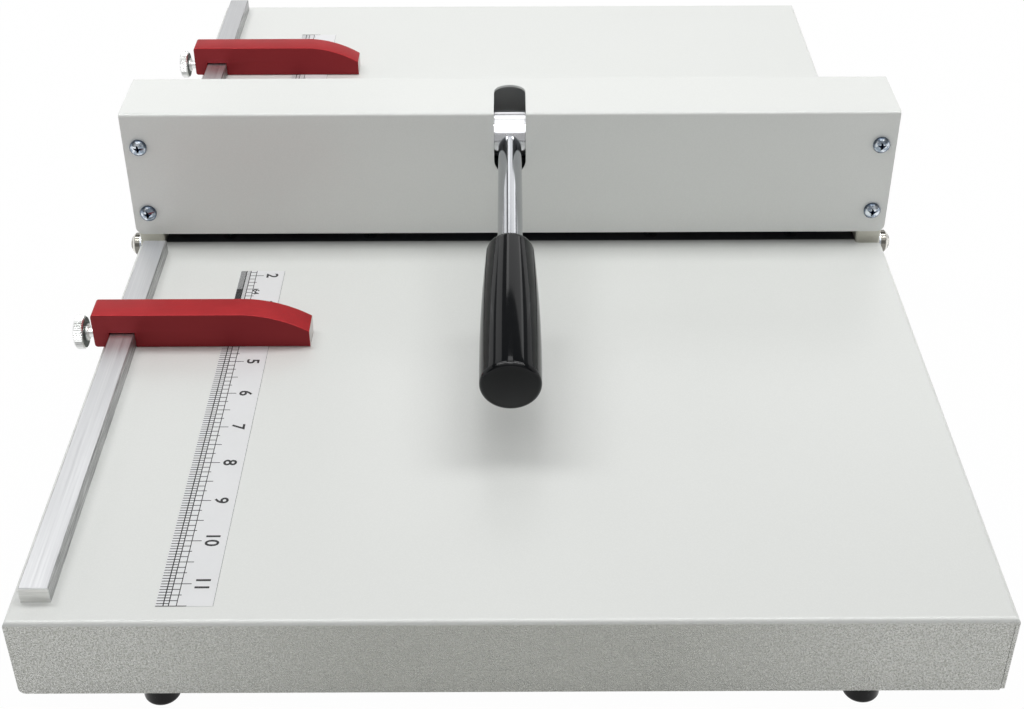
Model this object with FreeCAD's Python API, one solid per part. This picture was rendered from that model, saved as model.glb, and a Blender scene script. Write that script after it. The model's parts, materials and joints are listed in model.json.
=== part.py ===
"""Desktop paper creasing machine, one solid or one group of solids per sub-part, in millimetres.

Frame: the crease line runs along X. The origin lies under the middle of that line, on the plane
the feet stand on. +X is the user's right, +Y points away from the user, +Z is up.
"""
import FreeCAD, Part
import math
import os

Vector = FreeCAD.Vector
X_AXIS = Vector(1, 0, 0)
Y_AXIS = Vector(0, 1, 0)
Z_AXIS = Vector(0, 0, 1)

# ---------------------------------------------------------------- driving sizes
# How far a cutter runs past a face that it cuts through
past = 1.0

# Tables: two folded sheet trays
machine_width = 394.0
front_reach = 301.0
rear_reach = 300.0
flap_height = 39.0
table_sheet = 1.5
table_bend_inside = 0.6
flap_corner_radius = 3.0
side_corner_radius = 1.4
seam_gap = 0.3
lip_width = 22.0
lip_inset = 8.0
die_side_gap = 1.0
notch_gap_side = 0.7
notch_gap_end = 3.6
notch_radius = 2.0

# Feet and their screws
foot_height = 9.5
foot_radius = 7.5
foot_edge_radius = 2.2
foot_recess_gap = 0.3
foot_recess_depth = 4.5
foot_offset_x = 142.0
foot_inset_y = 8.6
nut_across_flats = 7.0
nut_height = 3.2
foot_screw_stand = 1.0

# End frames, lower die bed and creasing die
frame_thickness = 13.0
frame_chamfer = 0.8
bed_height = 28.0
bed_end_overlap = 12.0
die_width = 6.0
die_height = 10.0
groove_width = 1.6
groove_depth = 1.6
die_screw_count = 5
die_screw_margin = 25.0

# Side bolts: domed head on a plain washer
side_bolt_radius = 4.0
side_bolt_head_radius = 6.0
side_bolt_head_height = 5.9
side_bolt_drop = 6.4
side_bolt_pitch = 22.2
side_washer_radius = 6.5
side_washer_thickness = 1.6
side_bolt_hole_gap = 0.2

# Head cover
cover_front = 17.6
cover_depth = 42.4
cover_height = 75.6
cover_lift = 5.6
cover_overhang = 0.9
cover_sheet = 1.2
cover_bend_inside = 0.6
cover_corner_radius = 4.0
cover_top_gap = 0.3
cover_screw_low = 18.6
cover_screw_high = 57.1
cover_screw_inset = 7.0
slot_width = 16.2
slot_front_end = 48.4
slot_top_end = 6.9

# Small screws, with the proportions of their heads and cross recesses
recess_depth_share = 0.45
recess_slot_share = 0.13
recess_floor_share = 0.2
pan_recess_share = 1.15
flat_recess_share = 1.05
dome_rim_share = 0.45
small_screw_radius = 2.0
screw_hole_gap = 0.2
cover_screw_head_radius = 4.3
cover_screw_head_height = 3.0
pan_head_radius = 3.9
pan_head_height = 2.6
flat_head_radius = 3.5
cover_screw_grip = 5.0
table_screw_count = 5
table_screw_margin = 34.0
table_screw_length = 12.0

# Eccentric shaft and lever
shaft_radius = 12.5
journal_radius = 8.0
bush_radius = 10.0
running_gap = 0.05
end_float = 0.3
eccentricity = 3.0
pivot_height = 58.0
lever_angle = 6.0
lever_above_bottom = 4.0
lever_swing = 116.0
blade_travel = 3.6
rod_radius = 6.0
rod_socket_depth = 5.0
rod_length = 180.0
grip_start = 98.0
grip_end = 196.4
grip_neck_radius = 6.9
grip_shoulder_radius = 11.4
grip_middle_radius = 13.2
grip_end_radius = 13.6
grip_shoulder_length = 4.8
grip_middle_at = 42.0
grip_edge_radius = 2.4
grip_dome = 1.2
grip_round_along = 0.3
grip_round_rise = 0.72

# Blade carriage
blade_thickness = 1.0
blade_end_margin = 8.5
blade_depth_at_rest = 0.55
beam_half_depth = 9.0
beam_lift = 7.0
beam_web_height = 17.0
clamp_thickness = 6.0
clamp_slack = 0.2
clamp_screw_count = 6
clamp_screw_margin = 25.0
clamp_screw_short = 1.0
pad_length = 24.0
pad_width = 12.0
pad_thickness = 2.5
pad_inset = 34.0
pad_gap = 0.54
pad_screw_radius = 1.5
pad_screw_head_radius = 2.7
pad_screw_spacing = 12.0
pad_screw_length = 8.0
tongue_half_width = 5.0
tongue_reach = 4.6
guide_slot_depth = 5.0
guide_side_gap = 0.1
guide_end_gap = 0.6
spring_wire_radius = 0.45
spring_radius = 3.0
spring_turns = 8
spring_seat_radius = 3.9
spring_seat_depth = 1.4

# Tie bar behind the carriage
tie_bar_thickness = 8.6
tie_bar_low = 20.0
tie_bar_high = 46.0
tie_bar_gap = 1.0
tie_screw_radius = 2.5
tie_screw_head_radius = 4.8
tie_screw_grip = 12.0
tie_screw_edge = 7.0

# Rails, stops and thumb screws
rail_inset = 4.6
rail_width = 12.0
rail_height = 7.4
rail_chamfer = 0.5
front_rail_head_gap = 9.4
front_rail_end_gap = 11.6
rear_rail_head_gap = 6.2
rear_rail_end_gap = 6.0
rail_screw_count = 3
rail_screw_margin = 18.0
rail_screw_grip = 4.5
stop_length = 103.8
stop_width = 14.4
stop_height = 18.6
stop_tip_height = 8.8
stop_curve_length = 33.5
stop_wall = 7.6
stop_side_gap = 0.15
stop_top_gap = 1.0
stop_table_gap = 0.3
stop_edge_radius = 0.8
front_stop_at = 107.7
rear_stop_at = 196.2
thumb_screw_radius = 2.5
thumb_screw_height = 4.3
thumb_screw_tip_gap = 0.1
thumb_screw_hole_gap = 0.08
thumb_disc_radius = 8.25
thumb_disc_thickness = 4.8
thumb_disc_gap = 5.0
thumb_collar_radius = 4.2
thumb_collar_thickness = 1.2
knurl_teeth = 44
knurl_depth = 0.45
knurl_chamfer = 0.9

# Rulers: adhesive strips, placed by their printed inches
inch = 25.4
ruler_inset = 57.8
ruler_width = 22.8
ruler_thickness = 0.15
ruler_start = 1.82
front_ruler_end = 11.5
rear_ruler_end = 9.9

# ---------------------------------------------------------------- derived places
half_width = machine_width / 2
flap_bottom = foot_height
table_top = flap_bottom + flap_height
table_bend_outside = table_bend_inside + table_sheet
frame_inner = half_width - frame_thickness
frame_front = -cover_front + cover_sheet
frame_rear = -cover_front + cover_depth - cover_sheet
frame_middle = (frame_front + frame_rear) / 2
frame_top = table_top + cover_height - cover_sheet - cover_top_gap
bed_top = table_top - table_sheet
bed_bottom = bed_top - bed_height
die_half_length = frame_inner - blade_end_margin
pivot = Vector(0, 0, table_top + pivot_height)
lobe_angle = math.radians(lever_above_bottom)
shaft_centre = pivot - Vector(0, eccentricity * math.sin(lobe_angle), eccentricity * math.cos(lobe_angle))
lever_tilt = math.radians(lever_angle)
lever_direction = Vector(0, -math.cos(lever_tilt), -math.sin(lever_tilt))
carriage_down = blade_travel * lever_above_bottom / lever_swing
carriage_up = blade_travel - carriage_down
beam_bottom = table_top + beam_lift
flange_bottom = beam_bottom + beam_web_height
pad_top = shaft_centre.z - shaft_radius - pad_gap
beam_top = pad_top - pad_thickness
spring_x = (die_half_length + frame_inner) / 2
front_rail_span = (cover_front + front_rail_head_gap, front_reach - front_rail_end_gap)
rear_rail_span = (cover_depth - cover_front + rear_rail_head_gap, rear_reach - rear_rail_end_gap)
rail_left = -half_width + rail_inset
rail_middle = rail_left + rail_width / 2
stop_left = rail_left - stop_side_gap - stop_wall
ruler_left = -half_width + ruler_inset
side_bolt_z = table_top - side_bolt_drop
side_bolt_places = [frame_middle - side_bolt_pitch / 2, frame_middle + side_bolt_pitch / 2]
cover_screw_places = [table_top + cover_screw_low, table_top + cover_screw_high]
cover_screw_x = half_width - cover_screw_inset
tie_bar_rear = frame_rear - tie_bar_gap
tie_bar_middle = tie_bar_rear - tie_bar_thickness / 2
tie_screw_places = [table_top + tie_bar_low + tie_screw_edge, table_top + tie_bar_high - tie_screw_edge]


# ---------------------------------------------------------------- small helpers
def box(x0, x1, y0, y1, z0, z1):
    """Block between two corners."""
    return Part.makeBox(x1 - x0, y1 - y0, z1 - z0, Vector(x0, y0, z0))


def rod(radius, start, end):
    """Round bar from one point to another."""
    return Part.makeCylinder(radius, (end - start).Length, start, end - start)


def spread(count, half_span):
    """Evenly spaced places from -half_span to +half_span."""
    return [half_span * (2 * i / (count - 1) - 1) for i in range(count)]


def edges_along(shape, direction, test):
    """Straight edges that run along a direction and whose middle passes a test."""
    found = []
    for edge in shape.Edges:
        if len(edge.Vertexes) != 2:
            continue
        run = edge.Vertexes[1].Point - edge.Vertexes[0].Point
        middle = (edge.Vertexes[1].Point + edge.Vertexes[0].Point) / 2
        if abs(run.dot(direction)) > 0.999 * run.Length and test(middle):
            found.append(edge)
    return found


def near(value, target):
    """True where two lengths agree closely."""
    return abs(value - target) < 0.01


def mirror_x(shape):
    """The same piece on the machine's other side."""
    return shape.mirror(Vector(0, 0, 0), X_AXIS)


def mirror_y(shape):
    """The same piece on the far side of the crease line."""
    return shape.mirror(Vector(0, 0, 0), Y_AXIS)


def group(shapes):
    """Separate solids that share one node."""
    return Part.makeCompound(shapes)


def face_along(shape, direction, place):
    """Turn a piece made along +Z so that it points along a direction, then move it."""
    turned = shape.copy()
    turned.Placement = FreeCAD.Placement(place, FreeCAD.Rotation(Z_AXIS, direction))
    return turned


# ---------------------------------------------------------------- screws, washers and nuts
def cross_recess(size, top):
    """Tapered cross-shaped recess whose mouth lies at the given height."""
    half = size / 2
    depth = size * recess_depth_share
    slot = size * recess_slot_share
    floor = size * recess_floor_share
    wing = Part.makeWedge(-half, -slot, 0, -slot, -floor, half, slot, depth, slot, floor)
    wing.Placement = FreeCAD.Placement(Vector(0, 0, top), FreeCAD.Rotation(X_AXIS, 180))
    other = wing.copy()
    other.rotate(Vector(0, 0, 0), Z_AXIS, 90)
    return wing.fuse(other)


def domed_disc(radius, height):
    """Disc with a domed top: a cylinder cut by a ball."""
    rim = height * dome_rim_share
    rise = height - rim
    ball_radius = (radius ** 2 + rise ** 2) / (2 * rise)
    ball = Part.makeSphere(ball_radius, Vector(0, 0, height - ball_radius))
    return Part.makeCylinder(radius, height).common(ball)


def pan_screw(head_radius, head_height, shank_radius, shank_length):
    """Cross-recess pan head screw: head above z = 0, shank below."""
    shank = Part.makeCylinder(shank_radius, shank_length, Vector(0, 0, -shank_length))
    screw = domed_disc(head_radius, head_height).fuse(shank)
    return screw.cut(cross_recess(head_radius * pan_recess_share, head_height)).removeSplitter()


def flat_screw(head_radius, shank_radius, shank_length):
    """Countersunk screw: flat top at z = 0, cone and shank below."""
    cone_height = head_radius - shank_radius
    cone = Part.makeCone(shank_radius, head_radius, cone_height, Vector(0, 0, -cone_height))
    shank = Part.makeCylinder(shank_radius, shank_length, Vector(0, 0, -shank_length))
    return cone.fuse(shank).cut(cross_recess(head_radius * flat_recess_share, 0)).removeSplitter()


def flat_hole(head_radius, shank_radius, length):
    """Countersunk hole whose mouth lies at z = 0."""
    cone_height = head_radius - shank_radius
    cone = Part.makeCone(shank_radius, head_radius, cone_height, Vector(0, 0, -cone_height))
    return cone.fuse(Part.makeCylinder(shank_radius, length, Vector(0, 0, -length)))


def washer(outer_radius, inner_radius, thickness):
    """Plain ring lying on z = 0."""
    return Part.makeCylinder(outer_radius, thickness).cut(Part.makeCylinder(inner_radius, thickness))


def hex_nut(across_flats, height, bore_radius):
    """Six-sided nut lying on z = 0."""
    corner = across_flats / 2 / math.cos(math.pi / 6)
    points = [Vector(corner * math.cos(i * math.pi / 3), corner * math.sin(i * math.pi / 3), 0)
              for i in range(7)]
    blank = Part.Face(Part.makePolygon(points)).extrude(Vector(0, 0, height))
    return blank.cut(Part.makeCylinder(bore_radius, height))


# ---------------------------------------------------------------- tables
def rounded_tray_block(grow, radius, reach, low):
    """Block for a tray's outside or inside, with its three top outer edges rounded."""
    side = half_width - grow
    front = -reach + grow
    top = table_top - grow
    block = box(-side, side, front, reach / 2, low, top)
    edges = edges_along(block, X_AXIS, lambda m: near(m.y, front) and near(m.z, top))
    edges += edges_along(block, Y_AXIS, lambda m: near(m.z, top))
    return block.makeFillet(radius, edges)


def corner_round(corner, along, inward, r):
    """Cutter that rounds a sheet's lower corner; 'along' runs through the sheet's thickness."""
    start = corner - along * table_sheet
    end = corner + along * table_sheet
    centre = (inward + Z_AXIS) * r
    far = end + centre
    block = box(min(start.x, far.x), max(start.x, far.x), min(start.y, far.y), max(start.y, far.y),
                start.z, far.z)
    return block.cut(rod(r, start + centre, end + centre))


def bottom_lip(reach):
    """Flange welded inside the foot of the front flap, which carries the feet."""
    side = half_width - lip_inset
    return box(-side, side, -reach + table_sheet, -reach + lip_width, flap_bottom, flap_bottom + table_sheet)


def corner_cutters(reach):
    """Seams at the two front corners, and the rounding of the flaps' lower corners.

    The right side flap covers the end of the front flap; the left one stops behind it.
    """
    flap_end = half_width - table_sheet
    behind = -reach + table_sheet
    low = flap_bottom - past
    seam_top = table_top - table_bend_outside - seam_gap
    right_seam = box(flap_end - seam_gap, flap_end, -reach - past, behind, low, seam_top)
    left_seam = box(-half_width - past, -flap_end, behind, behind + seam_gap, low, seam_top)
    left_front = corner_round(Vector(-half_width, -reach, flap_bottom), Y_AXIS, X_AXIS, flap_corner_radius)
    right_side = corner_round(Vector(half_width, -reach, flap_bottom), X_AXIS, Y_AXIS, side_corner_radius)
    right_side = right_side.common(box(flap_end, half_width, -reach, 0, flap_bottom, table_top))
    left_side_corner = Vector(-half_width, behind + seam_gap, flap_bottom)
    left_side = corner_round(left_side_corner, X_AXIS, Y_AXIS, flap_corner_radius)
    return [right_seam, left_seam, left_front, right_side, left_side]


def frame_notch(frame_face):
    """Corner cut-out of a table that lets the right end frame stand through it."""
    side = frame_inner - notch_gap_side
    end = -frame_face - notch_gap_end
    cutter = box(side, half_width + past, end, 0, 0, table_top + past)
    corner = edges_along(cutter, Z_AXIS, lambda m: near(m.x, side) and near(m.y, end))
    return cutter.makeFillet(notch_radius, corner)


def rail_hole_places(rail_span):
    """Distances from the crease line of one rail's screws."""
    start, end = rail_span
    return [(start + end) / 2 + place
            for place in spread(rail_screw_count, (end - start) / 2 - rail_screw_margin)]


def table_screw_places(frame_face):
    """Places of one table's screws, in the strip of sheet that rests on the die bed."""
    across = (frame_face + die_width / 2 + die_side_gap) / 2
    return [(x, across) for x in spread(table_screw_count, frame_inner - table_screw_margin)]


def foot_places(reach):
    """Places of the two feet under one table."""
    return [(side * foot_offset_x, reach - foot_inset_y) for side in (-1, 1)]


def table_tray(reach, frame_face, rail_span):
    """Folded sheet table, built on the user's side of the crease line."""
    shell = rounded_tray_block(0, table_bend_outside, reach, flap_bottom)
    shell = shell.cut(rounded_tray_block(table_sheet, table_bend_inside, reach, flap_bottom - past))
    inner_edge = -die_width / 2 - die_side_gap
    shell = shell.cut(box(-half_width - past, half_width + past, inner_edge, reach, 0, table_top + past))
    notch = frame_notch(frame_face)
    shell = shell.cut(group([notch, mirror_x(notch)]))
    shell = shell.fuse(bottom_lip(reach))
    cutters = corner_cutters(reach)
    clear_radius = small_screw_radius + screw_hole_gap
    for x, y in foot_places(reach):
        cutters.append(rod(clear_radius, Vector(x, -y, 0), Vector(x, -y, flap_bottom + table_sheet + past)))
    for y in rail_hole_places(rail_span):
        low = Vector(rail_middle, -y, bed_top - past)
        cutters.append(rod(clear_radius, low, Vector(rail_middle, -y, table_top + past)))
    for x, y in table_screw_places(frame_face):
        hole = flat_hole(flat_head_radius, small_screw_radius, table_screw_length)
        cutters.append(face_along(hole, Z_AXIS, Vector(x, -y, table_top)))
    return shell.cut(group(cutters)).removeSplitter()


def front_table():
    return table_tray(front_reach, -frame_front, front_rail_span)


def rear_table():
    return mirror_y(table_tray(rear_reach, frame_rear, rear_rail_span))


def all_table_screw_places():
    """Both tables' screws as (x, y)."""
    front = [(x, -y) for x, y in table_screw_places(-frame_front)]
    rear = [(x, y) for x, y in table_screw_places(frame_rear)]
    return front + rear


def table_screws():
    screw = flat_screw(flat_head_radius, small_screw_radius, table_screw_length)
    return group([face_along(screw, Z_AXIS, Vector(x, y, table_top)) for x, y in all_table_screw_places()])


# ---------------------------------------------------------------- feet
def all_foot_places():
    """Names and places of the four feet."""
    front = [(x, -y) for x, y in foot_places(front_reach)]
    rear = [(x, y) for x, y in foot_places(rear_reach)]
    names = ["front_left_foot", "front_right_foot", "rear_left_foot", "rear_right_foot"]
    return dict(zip(names, front + rear))


def foot(x, y):
    """Rubber foot with a rounded tread edge and a recess for its screw head."""
    body = Part.makeCylinder(foot_radius, foot_height)
    tread = [edge for edge in body.Edges if near(edge.BoundBox.ZMax, 0)]
    body = body.makeFillet(foot_edge_radius, tread)
    body = body.cut(Part.makeCylinder(pan_head_radius + foot_recess_gap, foot_recess_depth))
    body = body.cut(Part.makeCylinder(small_screw_radius, foot_height))
    body.translate(Vector(x, y, 0))
    return body


def foot_screws():
    """Screws from the feet's recesses up through the table lips and the nuts."""
    length = foot_height - foot_recess_depth + table_sheet + nut_height + foot_screw_stand
    screw = pan_screw(pan_head_radius, pan_head_height, small_screw_radius, length)
    places = all_foot_places().values()
    return group([face_along(screw, Vector(0, 0, -1), Vector(x, y, foot_recess_depth)) for x, y in places])


def foot_nuts():
    nut = hex_nut(nut_across_flats, nut_height, small_screw_radius)
    places = all_foot_places().values()
    return group([face_along(nut, Z_AXIS, Vector(x, y, flap_bottom + table_sheet)) for x, y in places])


# ---------------------------------------------------------------- lower frame
def guide_slot_cutter():
    """Vertical slot on the right end frame's inner face, for the carriage's tongue."""
    half = tongue_half_width + guide_side_gap
    low = flange_bottom - carriage_down - guide_end_gap
    high = beam_top + carriage_up + guide_end_gap
    return box(frame_inner - past, frame_inner + guide_slot_depth, -half, half, low, high)


def right_end_frame():
    """Thick upright that carries the shaft bush, the carriage guide and the cover."""
    block = box(frame_inner, half_width, frame_front, frame_rear, flap_bottom, frame_top)
    under_bends = edges_along(block, X_AXIS, lambda m: near(m.z, frame_top))
    block = block.makeFillet(cover_bend_inside + cover_top_gap, under_bends)
    block = block.makeChamfer(frame_chamfer, edges_along(block, Z_AXIS, lambda m: True))
    cutters = [guide_slot_cutter()]
    bush_start = Vector(frame_inner - past, pivot.y, pivot.z)
    cutters.append(rod(bush_radius, bush_start, Vector(half_width + past, pivot.y, pivot.z)))
    for y in side_bolt_places:
        start = Vector(frame_inner - past, y, side_bolt_z)
        end = Vector(half_width + past, y, side_bolt_z)
        cutters.append(rod(side_bolt_radius + side_bolt_hole_gap, start, end))
    for z in tie_screw_places:
        hole = flat_hole(tie_screw_head_radius, tie_screw_radius, frame_thickness + past)
        cutters.append(face_along(hole, X_AXIS, Vector(half_width, tie_bar_middle, z)))
    for z in cover_screw_places:
        front = Vector(cover_screw_x, frame_front, z)
        rear = Vector(cover_screw_x, frame_rear, z)
        cutters.append(rod(small_screw_radius, front, front + Y_AXIS * cover_screw_grip))
        cutters.append(rod(small_screw_radius, rear, rear - Y_AXIS * cover_screw_grip))
    return block.cut(group(cutters)).removeSplitter()


def left_end_frame():
    return mirror_x(right_end_frame())


def die_bed():
    """Lower beam between the end frames; the tables rest on it and the die lies in its channel."""
    block = box(-frame_inner, frame_inner, frame_front, frame_rear, bed_bottom, bed_top)
    channel_bottom = table_top - die_height
    cutters = [box(-die_half_length, die_half_length, -die_width / 2, die_width / 2,
                   channel_bottom, bed_top + past)]
    for side in (-1, 1):
        for y in side_bolt_places:
            outer = Vector(side * frame_inner, y, side_bolt_z)
            inner = Vector(side * (frame_inner - bed_end_overlap), y, side_bolt_z)
            cutters.append(rod(side_bolt_radius, outer, inner))
        seat = Vector(side * spring_x, 0, bed_top - spring_seat_depth)
        cutters.append(rod(spring_seat_radius, seat, Vector(side * spring_x, 0, bed_top + past)))
    for x, y in all_table_screw_places():
        top = Vector(x, y, table_top)
        cutters.append(rod(small_screw_radius, Vector(x, y, table_top - table_screw_length), top))
    for x in die_screw_places():
        low = Vector(x, 0, bed_bottom)
        cutters.append(rod(small_screw_radius, low, Vector(x, 0, channel_bottom)))
        cutters.append(rod(pan_head_radius + screw_hole_gap, low, low + Z_AXIS * pan_head_height))
    return block.cut(group(cutters)).removeSplitter()


def die_screw_places():
    """Screws that hold the die, along the crease line."""
    return spread(die_screw_count, die_half_length - die_screw_margin)


def die_screw_depth():
    """How far the die screws reach into the die."""
    return (die_height - groove_depth) / 2


def crease_die():
    """Bar with the crease groove along its top, level with the tables."""
    bottom = table_top - die_height
    bar = box(-die_half_length, die_half_length, -die_width / 2, die_width / 2, bottom, table_top)
    half = groove_width / 2
    cutters = [box(-die_half_length - past, die_half_length + past, -half, half,
                   table_top - groove_depth, table_top + past)]
    for x in die_screw_places():
        low = Vector(x, 0, bottom)
        cutters.append(rod(small_screw_radius, low, low + Z_AXIS * die_screw_depth()))
    return bar.cut(group(cutters))


def die_screws():
    """Screws up through the bed, with their heads sunk in its underside."""
    seat = bed_bottom + pan_head_height
    length = table_top - die_height + die_screw_depth() - seat
    screw = pan_screw(pan_head_radius, pan_head_height, small_screw_radius, length)
    return group([face_along(screw, Vector(0, 0, -1), Vector(x, 0, seat)) for x in die_screw_places()])


def side_bolts():
    """Domed bolts through the end frames into the die bed."""
    length = side_washer_thickness + frame_thickness + bed_end_overlap
    bolt = pan_screw(side_bolt_head_radius, side_bolt_head_height, side_bolt_radius, length)
    seat = half_width + side_washer_thickness
    right = [face_along(bolt, X_AXIS, Vector(seat, y, side_bolt_z)) for y in side_bolt_places]
    return group(right + [mirror_x(piece) for piece in right])


def side_washers():
    ring = washer(side_washer_radius, side_bolt_radius, side_washer_thickness)
    right = [face_along(ring, X_AXIS, Vector(half_width, y, side_bolt_z)) for y in side_bolt_places]
    return group(right + [mirror_x(piece) for piece in right])


def rear_tie_bar():
    """Bar that ties the end frames together behind the carriage."""
    bar = box(-frame_inner, frame_inner, tie_bar_rear - tie_bar_thickness, tie_bar_rear,
              table_top + tie_bar_low, table_top + tie_bar_high)
    cutters = []
    for side in (-1, 1):
        for z in tie_screw_places:
            outer = Vector(side * frame_inner, tie_bar_middle, z)
            inner = Vector(side * (frame_inner - tie_screw_grip), tie_bar_middle, z)
            cutters.append(rod(tie_screw_radius, outer, inner))
    return bar.cut(group(cutters))


def tie_bar_screws():
    screw = flat_screw(tie_screw_head_radius, tie_screw_radius, frame_thickness + tie_screw_grip)
    right = [face_along(screw, X_AXIS, Vector(half_width, tie_bar_middle, z)) for z in tie_screw_places]
    return group(right + [mirror_x(piece) for piece in right])


# ---------------------------------------------------------------- eccentric shaft and lever
def right_shaft_bush():
    """Plain bearing bush pressed into the right end frame."""
    ring = washer(bush_radius, journal_radius + running_gap, frame_thickness)
    return face_along(ring, X_AXIS, Vector(frame_inner, pivot.y, pivot.z))


def left_shaft_bush():
    return mirror_x(right_shaft_bush())


def eccentric_shaft():
    """Long shaft whose end journals sit off its centre, so that turning it presses the carriage."""
    main_end = frame_inner - end_float
    shaft = rod(shaft_radius, shaft_centre - X_AXIS * main_end, shaft_centre + X_AXIS * main_end)
    journal_end = half_width - end_float
    shaft = shaft.fuse(rod(journal_radius, pivot - X_AXIS * journal_end, pivot + X_AXIS * journal_end))
    socket_start = shaft_centre - lever_direction * rod_socket_depth
    socket_end = shaft_centre + lever_direction * 2 * shaft_radius
    return shaft.cut(rod(rod_radius, socket_start, socket_end)).removeSplitter()


def lever_rod():
    """Round lever rod, from its socket in the shaft to the end of the grip's bore."""
    start = shaft_centre - lever_direction * rod_socket_depth
    return rod(rod_radius, start, shaft_centre + lever_direction * rod_length)


def grip_profile():
    """Half outline of the grip as (distance along the lever, radius) curves."""
    shoulder_at = grip_start + grip_shoulder_length
    neck = Vector(grip_start, grip_neck_radius, 0)
    shoulder = Vector(shoulder_at, grip_shoulder_radius, 0)
    shoulder_rise = grip_shoulder_radius - grip_neck_radius
    round_middle = Vector(grip_start + grip_round_along * grip_shoulder_length,
                          grip_neck_radius + grip_round_rise * shoulder_rise, 0)
    middle = Vector(grip_start + grip_middle_at, grip_middle_radius, 0)
    last = Vector(grip_end - grip_edge_radius, grip_end_radius, 0)
    edge_drop = grip_edge_radius * (1 - math.sqrt(0.5))
    edge_middle = Vector(grip_end - edge_drop, grip_end_radius - edge_drop, 0)
    edge_end = Vector(grip_end, grip_end_radius - grip_edge_radius, 0)
    tip = Vector(grip_end + grip_dome, 0, 0)
    dome_radius = (edge_end.y ** 2 + grip_dome ** 2) / (2 * grip_dome)
    half_turn = math.asin(edge_end.y / dome_radius) / 2
    dome_middle = Vector(tip.x - dome_radius * (1 - math.cos(half_turn)), dome_radius * math.sin(half_turn), 0)
    curves = [Part.Arc(neck, round_middle, shoulder).toShape(),
              Part.Arc(shoulder, middle, last).toShape(),
              Part.Arc(last, edge_middle, edge_end).toShape(),
              Part.Arc(edge_end, dome_middle, tip).toShape(),
              Part.makeLine(tip, Vector(grip_start, 0, 0)),
              Part.makeLine(Vector(grip_start, 0, 0), neck)]
    return Part.Wire(curves)


def lever_grip():
    """Tapered plastic grip, turned about the lever's axis and bored for the rod."""
    body = Part.Face(grip_profile()).revolve(Vector(0, 0, 0), X_AXIS, 360)
    body = body.cut(rod(rod_radius, Vector(0, 0, 0), Vector(rod_length, 0, 0)))
    body.Placement = FreeCAD.Placement(shaft_centre, FreeCAD.Rotation(X_AXIS, lever_direction))
    return body


# ---------------------------------------------------------------- blade carriage
def blade_beam():
    """Carriage beam: a wide flange with guide tongues, and a web that the blade is clamped to."""
    end = frame_inner - end_float
    flange = box(-end, end, -beam_half_depth, beam_half_depth, flange_bottom, beam_top)
    tongue_end = frame_inner + tongue_reach
    tongue = box(-tongue_end, tongue_end, -tongue_half_width, tongue_half_width, flange_bottom, beam_top)
    web = box(-die_half_length, die_half_length, blade_thickness / 2, beam_half_depth,
              beam_bottom, flange_bottom)
    beam = flange.fuse([tongue, web]).removeSplitter()
    cutters = [rod(small_screw_radius, Vector(x, 0, z), Vector(x, beam_half_depth, z))
               for x, z in clamp_screw_places()]
    for x in pad_screw_places():
        top = Vector(x, 0, pad_top)
        cutters.append(rod(pad_screw_radius, top - Z_AXIS * pad_screw_length, top))
    for side in (-1, 1):
        seat = Vector(side * spring_x, 0, flange_bottom)
        cutters.append(rod(spring_seat_radius, seat, seat + Z_AXIS * spring_seat_depth))
    return beam.cut(group(cutters))


def clamp_screw_places():
    """Blade clamp screws as (x, z)."""
    height = beam_bottom + beam_web_height / 2
    return [(x, height) for x in spread(clamp_screw_count, die_half_length - clamp_screw_margin)]


def pad_screw_places():
    """Follower pad screws along the beam."""
    middle = die_half_length - pad_inset
    return [side * middle + offset * pad_screw_spacing / 2 for side in (-1, 1) for offset in (-1, 1)]


def crease_blade():
    """Thin creasing blade with a rounded lower edge."""
    half = blade_thickness / 2
    tip = table_top - blade_depth_at_rest
    plate = box(-die_half_length, die_half_length, -half, half, tip + half, flange_bottom)
    edge_start = Vector(-die_half_length, 0, tip + half)
    plate = plate.fuse(rod(half, edge_start, edge_start + X_AXIS * 2 * die_half_length))
    holes = [rod(small_screw_radius, Vector(x, -half, z), Vector(x, half, z))
             for x, z in clamp_screw_places()]
    return plate.removeSplitter().cut(group(holes))


def blade_clamp_bar():
    """Bar that clamps the blade against the web from the front."""
    rear = -blade_thickness / 2
    bar = box(-die_half_length, die_half_length, rear - clamp_thickness, rear,
              beam_bottom, flange_bottom - clamp_slack)
    holes = [rod(small_screw_radius, Vector(x, rear - clamp_thickness, z), Vector(x, rear, z))
             for x, z in clamp_screw_places()]
    return bar.cut(group(holes))


def blade_clamp_screws():
    seat = -blade_thickness / 2 - clamp_thickness
    length = clamp_thickness + blade_thickness / 2 + beam_half_depth - clamp_screw_short
    screw = pan_screw(pan_head_radius, pan_head_height, small_screw_radius, length)
    return group([face_along(screw, Vector(0, -1, 0), Vector(x, seat, z)) for x, z in clamp_screw_places()])


def follower_pad(side):
    """Hard pad on the beam that the shaft presses on."""
    middle = side * (die_half_length - pad_inset)
    pad = box(middle - pad_length / 2, middle + pad_length / 2, -pad_width / 2, pad_width / 2,
              beam_top, pad_top)
    holes = [face_along(flat_hole(pad_screw_head_radius, pad_screw_radius, pad_thickness + past), Z_AXIS,
                        Vector(x, 0, pad_top)) for x in pad_screw_places() if x * side > 0]
    return pad.cut(group(holes))


def follower_pad_screws():
    screw = flat_screw(pad_screw_head_radius, pad_screw_radius, pad_screw_length)
    return group([face_along(screw, Z_AXIS, Vector(x, 0, pad_top)) for x in pad_screw_places()])


def return_spring(side):
    """Compression spring that lifts the carriage, between its seats in the bed and the beam."""
    low = bed_top - spring_seat_depth + spring_wire_radius
    high = flange_bottom + spring_seat_depth - spring_wire_radius
    pitch = (high - low) / spring_turns
    helix = Part.makeHelix(pitch, high - low, spring_radius)
    ring = Part.Wire(Part.makeCircle(spring_wire_radius, Vector(spring_radius, 0, 0), Y_AXIS))
    coil = Part.Wire(helix).makePipeShell([ring], True, True)
    coil.translate(Vector(side * spring_x, 0, low))
    return coil


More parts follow.
